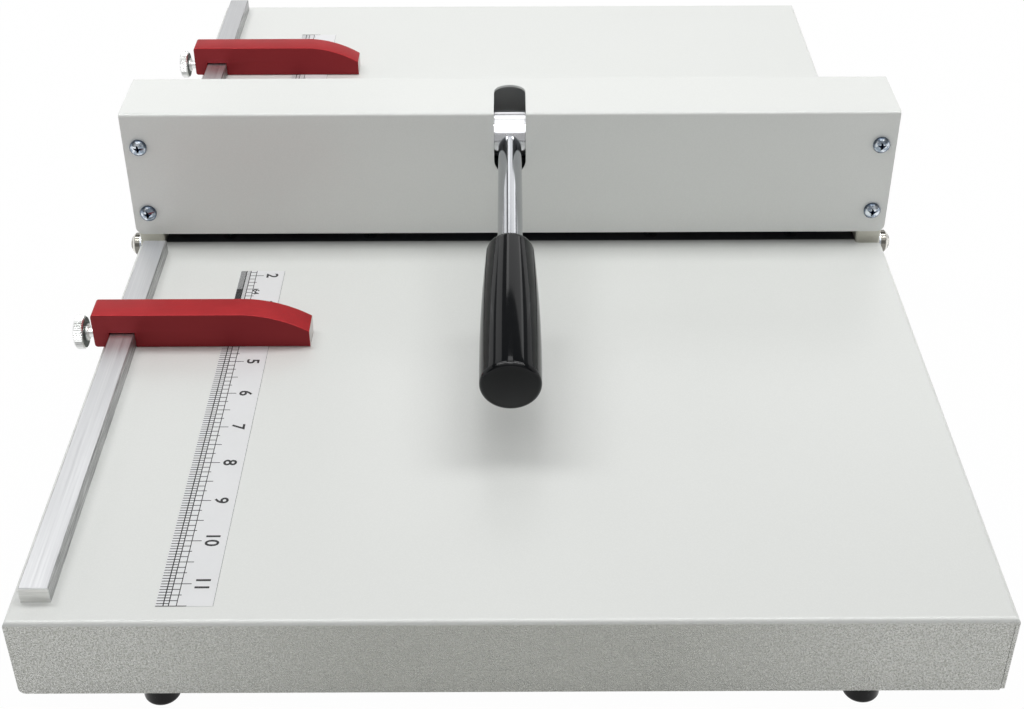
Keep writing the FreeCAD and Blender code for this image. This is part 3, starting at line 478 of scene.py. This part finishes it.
# %% Give the solids their finishes
# Painted shade: the table screws sit in the shaded strip under the head and take the black finish.
finish_of_node = {
    "front_cover_screws": front_cross, "rear_cover_screws": rear_cross, "side_bolts": bolt_nickel,
    "front_thumb_screw": thumb_nickel, "rear_thumb_screw": thumb_nickel, "table_screws": black_steel,
    **rail_metals,
}
finish_of_slot = {
    "table_paint": table_paint, "cover_paint": cover_paint, "frame_paint": frame_paint,
    "black_steel": black_steel, "blade_steel": blade_metal, "spring_steel": spring_metal,
    "shaft_chrome": shaft_chrome, "lever_chrome": lever_chrome, "screw_zinc": zinc_metal,
    "bush_brass": brass_metal, "knob_nickel": thumb_nickel, "foot_rubber": foot_rubber,
    "grip_black": grip_black, "ruler_print": label_film,
    "rail_aluminium": rail_metals["front_rail"], "stop_red": stop_reds["front_stop"],
}
slot_of_node = {part["node"]: part["material_slot"] for part in frame["record"]["subparts"]}
for name, solid in nodes.items():
    chosen = finish_of_node.get(name) or finish_of_slot[slot_of_node[name]]
    for index in range(len(solid.data.materials)):
        solid.data.materials[index] = chosen
print({name: solid.data.materials[0].name for name, solid in nodes.items()})

# %% [markdown]
# ## Surfaces from arrays
# A new piece is a grid of points worked out with numpy. `ring_faces` numbers the four-sided faces of a
# grid whose rows are rings, and `make_piece` hands points and faces to Blender with their finish, turns on
# smooth shading by angle and notes which moving body carries the piece. The signed volume
# of a closed piece tells whether its faces point outwards.

# %% Mesh helpers
def ring_faces(rings, sides):
    """Faces between rings of points: each point joins the next on its ring and the two on the next ring,
    and the last point of a ring joins the first."""
    row = np.arange(rings - 1)[:, None]
    column = np.arange(sides)[None, :]
    beside = (column + 1) % sides
    corners = [row * sides + column, row * sides + beside, (row + 1) * sides + beside,
               (row + 1) * sides + column]
    return [tuple(face) for face in np.stack([corner.ravel() for corner in corners], axis=1)]


def make_piece(name, points, faces, finish, body, smooth_degrees=None):
    """A mesh object from points (n x 3) and a list of faces, riding on a body. It shades smooth where two
    faces meet at less than `smooth_degrees`, and flat everywhere if that isn't given."""
    mesh = bpy.data.meshes.new(name)
    corners = [[int(index) for index in face] for face in faces]
    mesh.from_pydata(np.asarray(points, float).reshape(-1, 3).tolist(), [], corners)
    mesh.materials.append(finish)
    mesh.validate()
    if smooth_degrees:
        mesh.shade_smooth()
        mesh.set_sharp_from_angle(angle=math.radians(smooth_degrees))
    piece = bpy.data.objects.new(name, mesh)
    bpy.context.scene.collection.objects.link(piece)
    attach(piece, body)
    print(name, len(mesh.vertices), "points,", len(mesh.polygons), "faces on", body)
    return piece


def signed_volume(mesh):
    """Sum of the tetrahedra from the origin to every triangle: positive where faces point outwards."""
    mesh.calc_loop_triangles()
    place = np.array([vertex.co for vertex in mesh.vertices])
    triangle = np.array([t.vertices for t in mesh.loop_triangles])
    a, b, c = place[triangle[:, 0]], place[triangle[:, 1]], place[triangle[:, 2]]
    return float(np.sum(a * np.cross(b, c)) / 6)


def face_outwards(piece):
    """Turn the faces of a closed piece outwards, and print its volume."""
    if signed_volume(piece.data) < 0:
        piece.data.flip_normals()
    print(piece.name, "volume", round(signed_volume(piece.data) / mm ** 3), "mm3")


# %% [markdown]
# ## Sliding stops
# Each stop is a bar with an arched nose and a notch that fits over the rail. Its outline is the same all
# the way across, so the bar is that outline carried along Y. Near both sides of the bar the outline
# shrinks along a quarter circle, which rounds the long edges as a deburring wheel would.

# %% Stop outline
def stop_outline(left, right, foot, top, notch):
    """Outline of the bar in the XZ plane; `notch` holds its left side, its right side and its roof.

    It runs from the tip back up the nose, which is an arc of a circle that leaves the flat top level,
    then round the left end with its two small rounds, and along the underside with the notch. The
    arc's radius is the nose's run squared plus its drop squared, over twice the drop.
    """
    nose_run, nose_drop, corner = 33.5 * mm, 9.8 * mm, 1.5 * mm
    arc_radius = (nose_run ** 2 + nose_drop ** 2) / (2 * nose_drop)
    turn = np.linspace(math.asin(nose_run / arc_radius), 0, 25)
    nose = [right - nose_run + arc_radius * np.sin(turn), top - arc_radius * (1 - np.cos(turn))]
    quarter = np.linspace(0, math.pi / 2, 7)
    top_round = [left + corner * (1 - np.sin(quarter)), top - corner * (1 - np.cos(quarter))]
    foot_round = [left + corner * (1 - np.cos(quarter)), foot + corner * (1 - np.sin(quarter))]
    notch_left, notch_right, notch_roof = notch
    under = [[notch_left, notch_left, notch_right, notch_right, right],
             [foot, notch_roof, notch_roof, foot, foot]]
    return np.concatenate([np.stack(stretch, 1) for stretch in (nose, top_round, foot_round, under)])


def shrink(outline, distance):
    """Move every point of a closed outline inwards by a distance, along the bisector of its two sides."""
    before, after = np.roll(outline, 1, axis=0), np.roll(outline, -1, axis=0)
    sides = [outline - before, after - outline]
    first, second = (np.stack([-side[:, 1], side[:, 0]], 1) / np.linalg.norm(side, axis=1)[:, None]
                     for side in sides)
    return outline + distance * (first + second) / (1 + np.sum(first * second, axis=1))[:, None]


# %% Stop bars
def make_stop(name, node, body):
    """The outline carried along Y from one side of the bar to the other, with its long edges rounded: the
    rings' insets and their places along Y follow the sine and the cosine of one quarter turn."""
    low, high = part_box(node)
    rail_low, rail_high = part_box(node.replace("stop", "rail"))
    side_gap, roof_gap, edge = 0.15 * mm, 1.0 * mm, 0.45 * mm
    notch = (rail_low.x - side_gap, rail_high.x + side_gap, rail_high.z + roof_gap)
    outline = stop_outline(low.x, high.x, low.z, high.z, notch)
    turn = np.linspace(0, math.pi / 2, 5)
    inset = edge * (1 - np.sin(turn))
    along = edge * (1 - np.cos(turn))
    insets = np.concatenate([inset, inset[::-1]])
    places = np.concatenate([low.y + along, high.y - along[::-1]])
    sections = np.array([shrink(outline, depth) for depth in insets])
    across = np.broadcast_to(places[:, None], sections.shape[:2])
    points = np.stack([sections[:, :, 0], across, sections[:, :, 1]], 2)
    rings, sides = across.shape
    faces = ring_faces(rings, sides)
    faces += [range(sides)[::-1], range((rings - 1) * sides, rings * sides)]
    piece = make_piece(name, points, faces, stop_reds[node], body, 40.0)
    face_outwards(piece)
    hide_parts(node)


make_stop("front_stop_bar", "front_stop", "front_stop")
make_stop("rear_stop_bar", "rear_stop", "rear_stop")

# %% [markdown]
# ## Grip
# The grip is turned: its outline runs from the bore over the neck, swells gently, rounds the end and
# closes in a low dome. Arcs through three points make the outline, and turning it about the lever's axis
# makes the surface. Both ends of the outline lie on the axis, where the rings close in single points.

# %% Turned surface
def arc_through(first, middle, last, count):
    """Points on the circle through three points of a plane, from the first to the last. The centre is
    where the perpendicular bisectors of the two chords meet."""
    (ax, ay), (bx, by), (cx, cy) = first, middle, last
    double = 2 * (ax * (by - cy) + bx * (cy - ay) + cx * (ay - by))
    squares = [px * px + py * py for px, py in (first, middle, last)]
    centre = np.array([squares[0] * (by - cy) + squares[1] * (cy - ay) + squares[2] * (ay - by),
                       squares[0] * (cx - bx) + squares[1] * (ax - cx) + squares[2] * (bx - ax)]) / double
    start, end = (math.atan2(py - centre[1], px - centre[0]) for px, py in (first, last))
    sweep = (end - start + math.pi) % (2 * math.pi) - math.pi
    angle = start + sweep * np.linspace(0, 1, count)
    radius = math.hypot(ax - centre[0], ay - centre[1])
    return centre + radius * np.stack([np.cos(angle), np.sin(angle)], 1)


def turned_surface(outline, origin, axis, sides=96):
    """Points and faces of an outline (along, out) turned about an axis that is square to X.

    Every point of the outline but its two ends becomes a ring of spokes: the cosine of the turn along X
    and the sine along the third direction. The two ends lie on the axis and close the surface.
    """
    across = np.array([1.0, 0.0, 0.0])
    upward = np.cross(across, axis)
    turn = np.arange(sides) * 2 * math.pi / sides
    spokes = np.cos(turn)[:, None] * across + np.sin(turn)[:, None] * upward
    rings = outline[1:-1]
    points = [origin + along * axis + out * spokes for along, out in rings]
    points += [[origin + along * axis] for along, _ in (outline[0], outline[-1])]
    faces = ring_faces(len(rings), sides)
    first, last = len(rings) * sides, len(rings) * sides + 1
    for side in range(sides):
        beside = (side + 1) % sides
        faces.append((first, beside, side))
        faces.append((last, first - sides + side, first - sides + beside))
    return np.concatenate(points), faces


# %% Grip
# Points are given in millimetres: how far along the lever from the shaft's centre, and how far out.
bore_radius, bore_end, neck_along = 6.02, 180.0, 98.0
neck, neck_round, shoulder, swell = (neck_along, 6.9), (99.44, 10.14), (102.8, 11.4), (140.0, 13.2)
round_start, round_middle, round_end = (194.0, 13.6), (195.7, 12.9), (196.4, 11.2)
dome_middle, dome_top = (197.3, 5.6), (197.6, 0.0)
grip_outline = np.concatenate([
    [(bore_end, 0.0), (bore_end, bore_radius), (neck_along, bore_radius)],
    arc_through(neck, neck_round, shoulder, 10),
    arc_through(shoulder, swell, round_start, 30)[1:],
    arc_through(round_start, round_middle, round_end, 10)[1:],
    arc_through(round_end, dome_middle, dome_top, 10)[1:]]) * mm
lever_tilt, shaft_centre = math.radians(6.0), np.array([0.0, -0.209, 103.507]) * mm
lever_axis = np.array([0.0, -math.cos(lever_tilt), -math.sin(lever_tilt)])
grip_points, grip_faces = turned_surface(grip_outline, shaft_centre, lever_axis)
grip_shell = make_piece("lever_grip_shell", grip_points, grip_faces, grip_black, "lever", 50.0)
face_outwards(grip_shell)
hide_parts("lever_grip")

# %% [markdown]
# ## Printed scales
# The scale is black print on a white film. Three long rules run along it, with fine ticks beside the
# first one and, further on, a tick for every sixteenth of an inch. Every mark is a flat rectangle, so
# four arrays of its edges describe them all at once. The marks lie two hundredths of a millimetre above
# the film, which is enough to keep the two surfaces apart.

# %% Ruler marks
rule_places = np.array([3.1, 5.2, 8.3]) * mm
rule_widths = np.array([0.46, 0.42, 0.36]) * mm
tick_start, tick_half = 0.15 * mm, 0.21 * mm
fine_half, packed_half, pale_half, packed_until = 0.18 * mm, 0.11 * mm, 0.09 * mm, 2.5 * inch
tick_ends = {1: 5.2 * mm, 2: 8.3 * mm, 4: 9.4 * mm, 8: 11.2 * mm, 16: 12.3 * mm}
end_line_start, end_line_width, edge_line = 0.1 * mm, 0.4 * mm, (22.60 * mm, 22.72 * mm)
print_height = 0.02 * mm


def flat_marks(left, right, low, high, height):
    """Points and faces of flat rectangles: one per entry of the edge arrays, all facing up."""
    left, right, low, high = np.broadcast_arrays(left, right, low, high)
    level = np.full(left.shape, height)
    corners = [(left, low), (right, low), (right, high), (left, high)]
    points = np.stack([np.stack([x, y, level], 1) for x, y in corners], 1).reshape(-1, 3)
    return points, np.arange(len(points)).reshape(-1, 4)


def spread(*edges):
    """Edges of several marks at once, where a single value stands for all of them."""
    return np.broadcast_arrays(*(np.atleast_1d(edge) for edge in edges))


def scale_marks(first_inch, last_inch, fine_until):
    """Edges (left, right, near, far) of all marks, along the strip in metres from the crease line.

    Up to `fine_until` the ticks of every eighth start at the second rule, and ticks of a sixty-fourth
    fill the space before the first rule; every second one of these goes on thinly to the second rule.
    Beyond `fine_until` every sixteenth has a tick that starts at the edge.
    """
    sixteenth = np.arange(math.ceil(first_inch * 16), math.floor(last_inch * 16) + 1)
    coarse = sixteenth / 16 > fine_until
    reach = np.full(sixteenth.shape, tick_ends[1])
    for step in (2, 4, 8, 16):
        reach[sixteenth % step == 0] = tick_ends[step]
    start = np.where(coarse, tick_start, rule_places[1])
    keep = coarse | (sixteenth % 2 == 0)
    centre = sixteenth[keep] / 16 * inch
    dense = np.arange(math.ceil(first_inch * 64), math.floor(fine_until * 64) + 1) / 64 * inch
    half = np.where(dense < packed_until, packed_half, fine_half)
    pale = dense[::2]
    near, far = first_inch * inch, last_inch * inch
    marks = [spread(start[keep], reach[keep], centre - tick_half, centre + tick_half),
             spread(tick_start, rule_places[0], dense - half, dense + half),
             spread(rule_places[0], rule_places[1], pale - pale_half, pale + pale_half),
             spread(rule_places - rule_widths / 2, rule_places + rule_widths / 2, near, far),
             spread(end_line_start, tick_ends[16], far - end_line_width, far),
             spread(*edge_line, near, far)]
    print(np.count_nonzero(coarse), "coarse ticks,", len(dense), "fine ticks")
    return [np.concatenate(column) for column in zip(*marks)]


def print_scale(name, node, side, first_inch, last_inch, fine_until):
    """Marks on a film: `side` is -1 where the scale runs toward the user and 1 where it runs away."""
    low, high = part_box(node)
    left, right, near, far = scale_marks(first_inch, last_inch, fine_until)
    start, end = (-far, -near) if side < 0 else (near, far)
    start = np.clip(start, low.y + print_height, high.y)
    end = np.clip(end, low.y, high.y - print_height)
    points, faces = flat_marks(low.x + left, low.x + right, start, end, high.z + print_height)
    make_piece(name, points, faces, label_ink, "base")


first_mark, fine_end = 1.82, 4.4
print_scale("front_ruler_marks", "front_ruler", -1, first_mark, 11.5, fine_end)
print_scale("rear_ruler_marks", "rear_ruler", 1, first_mark, 9.9, fine_end)

# %% [markdown]
# ## Numbers on the scales
# Each whole inch has a number beside its tick, and a small 64 names the fine ticks. A text object draws
# the digits. Its curve is made a mesh first and only then moved, so that the finished piece sits at the
# origin with its place in its mesh.

# %% Ruler numbers
def number_mesh(text, size):
    """Points and faces of a flat number, centred on the origin, reading along +X. The curve is pushed
    outwards by a small share of its size, which makes the digits a little bolder."""
    curve = bpy.data.curves.new("number", "FONT")
    curve.body, curve.size, curve.align_x, curve.align_y = text, size, "CENTER", "CENTER"
    curve.offset = 0.019 * size
    curve.resolution_u = 3
    maker = bpy.data.objects.new("number", curve)
    bpy.context.scene.collection.objects.link(maker)
    bpy.context.view_layer.update()
    mesh = bpy.data.meshes.new_from_object(maker)
    points = np.empty(len(mesh.vertices) * 3)
    mesh.vertices.foreach_get("co", points)
    faces = [list(face.vertices) for face in mesh.polygons]
    bpy.data.objects.remove(maker)
    bpy.data.curves.remove(curve)
    bpy.data.meshes.remove(mesh)
    points = points.reshape(-1, 3)
    middle = (points.min(0) + points.max(0)) / 2
    return points - middle, faces


def print_numbers(name, node, side, numbers):
    """Numbers with their tops toward +X, reading toward the user, in one piece; each is given by its
    text, its place along the scale in inches, its place across the film and its size."""
    low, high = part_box(node)
    all_points, all_faces, count = [], [], 0
    for text, at_inch, across, size in numbers:
        points, faces = number_mesh(text, size)
        turned = np.stack([points[:, 1], -points[:, 0], points[:, 2]], 1)
        turned += (low.x + across, side * at_inch * inch, high.z + print_height)
        all_points.append(turned)
        all_faces += [[index + count for index in face] for face in faces]
        count += len(turned)
    make_piece(name, np.concatenate(all_points), all_faces, label_ink, "base")


def inch_numbers(last):
    """Entries for the whole inches from 2 to the last."""
    across, size = 16.7 * mm, 8.2 * mm
    return [(str(number), number, across, size) for number in range(2, last + 1)]


fine_number = ("64", 2.60, 10.2 * mm, 4.8 * mm)
print_numbers("front_ruler_numbers", "front_ruler", -1, inch_numbers(11) + [fine_number])
print_numbers("rear_ruler_numbers", "rear_ruler", 1, inch_numbers(9))

# %% [markdown]
# ## Floor
# A white floor fills the whole view. The camera and polished metal see mostly a plain white that the floor
# gives off by itself, and a small share of the lit floor leaves a trace of the machine's shadow. Diffuse
# surfaces see only the lit floor, so its own white never lights the machine.

# %% Floor
def make_floor(half=4.0, white_share=0.98):
    """White floor that shows the camera and polished metal almost only its own plain white."""
    finish = Finish("studio_floor")
    finish.surface(Base_Color=(0.90, 0.90, 0.90, 1.0), Roughness=1.0, Specular_IOR_Level=0.0)
    seen = sum(finish.node("ShaderNodeLightPath", output="Is " + kind + " Ray")
               for kind in ("Camera", "Glossy", "Transmission"))
    white = finish.node("ShaderNodeEmission", None, {"Color": (1, 1, 1, 1), "Strength": 1.0})
    lit = Signal(finish, finish.shader.outputs[0])
    mixed = finish.node("ShaderNodeMixShader", None,
                        {0: finish.ramp(seen, 0.0, 1.0, 0.0, white_share), 1: lit, 2: white})
    finish.feed(finish.tree.nodes["Material Output"].inputs["Surface"], mixed)
    mesh = bpy.data.meshes.new("floor")
    points, faces = flat_marks(np.array([-half]), np.array([half]), np.array([-half]), np.array([half]), 0.0)
    mesh.from_pydata(points.tolist(), [], faces.tolist())
    mesh.materials.append(finish.material)
    floor = bpy.data.objects.new("floor", mesh)
    bpy.context.scene.collection.objects.link(floor)
    print("floor", 2 * half, "m wide")


make_floor()

# %% [markdown]
# ## Lamps and sky
# Softboxes hang level over the machine, so the tables are bright and the head's front is darker. Polished
# metal mirrors the softboxes themselves as clean bands, so a few cards light nothing and are only there
# to be mirrored. The two cards under the main light's middle part hang a centimetre lower, because that
# part is hidden from mirrors but would still hide a card at its own height. Four wide boxes around the
# scene and a dim sky fill in the sides.

# %% Softboxes
def softbox(name, place, aim, width, length, brightness, hidden_from=None):
    """Area lamp whose brightness is that of its face, where 1 looks white. It can be hidden from glossy
    rays, so that nothing mirrors it, or from diffuse rays, so that it lights nothing."""
    lamp = bpy.data.lights.new(name, "AREA")
    lamp.shape, lamp.size, lamp.size_y = "RECTANGLE", width, length
    lamp.energy = brightness * math.pi * width * length
    holder = bpy.data.objects.new(name, lamp)
    turn = (Vector(aim) - Vector(place)).to_track_quat("-Z", "Y").to_matrix().to_4x4()
    holder.matrix_world = Matrix.Translation(place) @ turn
    holder.visible_camera = False
    if hidden_from:
        setattr(holder, "visible_" + hidden_from, False)
    bpy.context.scene.collection.objects.link(holder)


def ceiling_box(name, x_range, y_range, brightness, height=1.0, hidden_from=None):
    """Softbox that hangs level and faces straight down, given by the rectangle it covers."""
    middle = [(x_range[0] + x_range[1]) / 2, (y_range[0] + y_range[1]) / 2, height]
    width, length = x_range[1] - x_range[0], y_range[1] - y_range[0]
    softbox(name, middle, (middle[0], middle[1], 0.0), width, length, brightness, hidden_from)


# %% Main light and what shiny metal mirrors
main_height, card_height = 1.05, 1.04
ceiling_box("main_left", (-0.85, -0.20), (-0.04, 0.25), 6.5, main_height)
ceiling_box("main_right", (0.20, 0.85), (-0.04, 0.25), 6.5, main_height)
ceiling_box("main_middle", (-0.20, 0.20), (-0.04, 0.25), 2.5, main_height, hidden_from="glossy")
ceiling_box("middle_card", (-0.20, 0.20), (-0.04, 0.10), 1.5, card_height, hidden_from="diffuse")
ceiling_box("middle_card_rear", (-0.20, 0.20), (0.16, 0.27), 1.7, card_height, hidden_from="diffuse")
ceiling_box("front_strip", (-0.12, 0.12), (-1.30, -0.30), 1.6)
ceiling_box("front_strip_near", (-0.12, 0.12), (-0.22, -0.06), 1.6)
ceiling_box("back_strip", (-0.12, 0.12), (0.29, 0.58), 2.4)

# %% Boxes around the machine and cards in front of it
ceiling_box("rear_streak", (-0.22, -0.08), (0.86, 1.70), 1.9)
ceiling_box("rear_right", (-0.08, 0.70), (0.86, 1.70), 1.0)
ceiling_box("rear_edge", (0.70, 0.90), (0.90, 1.70), 1.7)
ceiling_box("rear_left", (-1.10, -0.50), (0.55, 2.40), 0.92)
softbox("back_wall", (0, 3.0, 0.75), (0, 0, 0.75), 5.0, 1.4, 0.70)
softbox("left_wall", (-2.3, 0.8, 0.75), (0, 0.8, 0.75), 4.0, 1.4, 0.7)
softbox("right_wall", (2.3, 0.8, 0.75), (0, 0.8, 0.75), 4.0, 1.4, 0.5)
softbox("front_wall", (0, -2.5, 0.75), (0, 0, 0.75), 4.0, 1.4, 0.25)
ceiling_box("front_card", (-0.9, 0.9), (-1.40, -0.45), 1.3, 1.02, hidden_from="diffuse")
ceiling_box("edge_strip", (-1.0, 1.0), (-0.40, -0.34), 30.0, main_height, hidden_from="diffuse")

# %% Sky
sky = bpy.data.worlds.new("studio_sky")
sky.use_nodes = True
sky_shader = sky.node_tree.nodes["Background"]
sky_shader.inputs["Color"].default_value = (0.23, 0.23, 0.23, 1.0)
sky_shader.inputs["Strength"].default_value = 1.0
bpy.context.scene.world = sky

# %% [markdown]
# ## Camera
# The camera stands in front of the machine and looks down on it. Its focal length is written in pixels of
# a picture 1024 wide, and turned into the millimetres on a 36 mm sensor that Blender wants. Pitch says how
# far it looks down, yaw how far to the right, and roll how far the picture leans.

# %% Camera
picture_width, focal_pixels, sensor_width = 1024, 1584.2, 36.0
camera_place = Vector((0.0006, -0.74155, 0.48483))
pitch, yaw, roll = math.radians(35.1526), math.radians(0.006), math.radians(-0.2204)
forward = Vector((math.sin(yaw) * math.cos(pitch), math.cos(yaw) * math.cos(pitch), -math.sin(pitch)))
level_right = Vector((math.cos(yaw), -math.sin(yaw), 0))
level_up = level_right.cross(forward)
right = math.cos(roll) * level_right + math.sin(roll) * level_up
up = -math.sin(roll) * level_right + math.cos(roll) * level_up
camera_data = bpy.data.cameras.new("camera")
camera_data.sensor_width = sensor_width
camera_data.lens = sensor_width * focal_pixels / picture_width
camera_data.clip_start, camera_data.clip_end = 0.01, 20.0
camera = bpy.data.objects.new("camera", camera_data)
turn = Matrix((right, up, -forward)).transposed()
camera.matrix_world = Matrix.Translation(camera_place) @ turn.to_4x4()
bpy.context.scene.collection.objects.link(camera)
bpy.context.scene.camera = camera
print("lens", round(camera_data.lens, 2), "mm")

# %% [markdown]
# ## Colours
# The Standard view shows a colour about as it was written.

# %% Standard colours
bpy.context.scene.view_settings.view_transform = "Standard"
